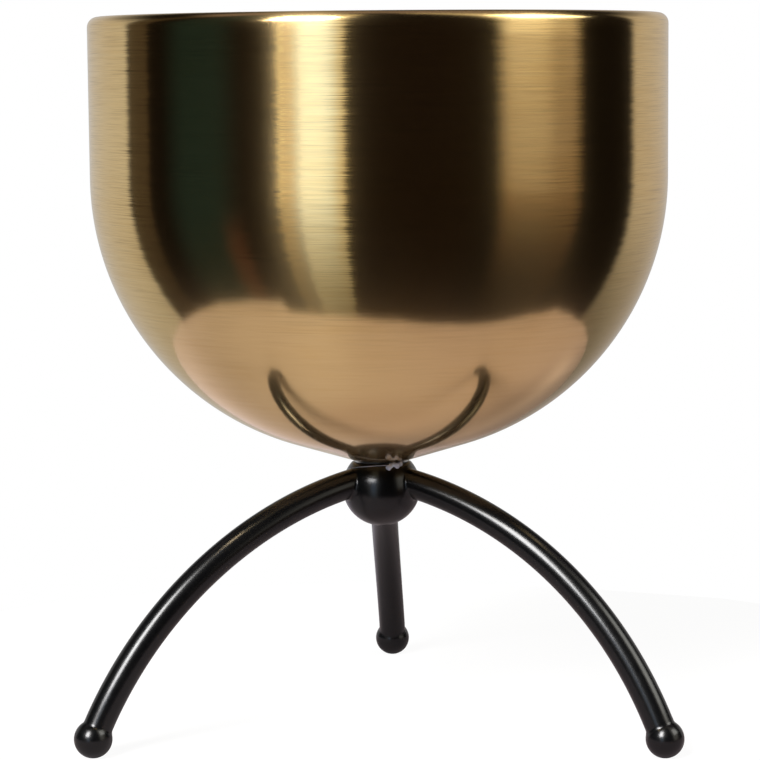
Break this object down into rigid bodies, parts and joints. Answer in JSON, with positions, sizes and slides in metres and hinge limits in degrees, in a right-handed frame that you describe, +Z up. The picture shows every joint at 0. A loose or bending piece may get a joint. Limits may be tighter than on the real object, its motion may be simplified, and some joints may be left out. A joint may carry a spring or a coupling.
{
  "type": "single plant stand",
  "caption": "Round planter bowl with a rolled rim, screwed to a ball hub on arched rod legs that end in ball feet; holds one plant.",
  "frame": {"origin": "on the floor, on the bowl's axis, level with the undersides of the feet", "axes": "+Z up along the bowl's axis, +Y towards the rear leg, +X to the right as seen from the front"},
  "size_m": [0.205, 0.2173, 0.248],
  "materials": {
    "brushed_brass": "brushed round the bowl, satin lacquer",
    "black_paint": "satin black coating",
    "zinc_steel": "bright zinc plate",
    "black_rubber": "matt",
    "clear_silicone": "translucent"
  },
  "bodies": {
    "root": {"bowl": "brushed_brass", "hub_ball": "black_paint", "clear_washer": "clear_silicone", "rubber_washer": "black_rubber", "steel_washer": "zinc_steel", "fixing_screw": "zinc_steel", "leg_rear": "black_paint", "leg_front_left": "black_paint", "leg_front_right": "black_paint", "foot_ball_rear": "black_paint", "foot_ball_front_left": "black_paint", "foot_ball_front_right": "black_paint"}
  },
  "joints": []
}
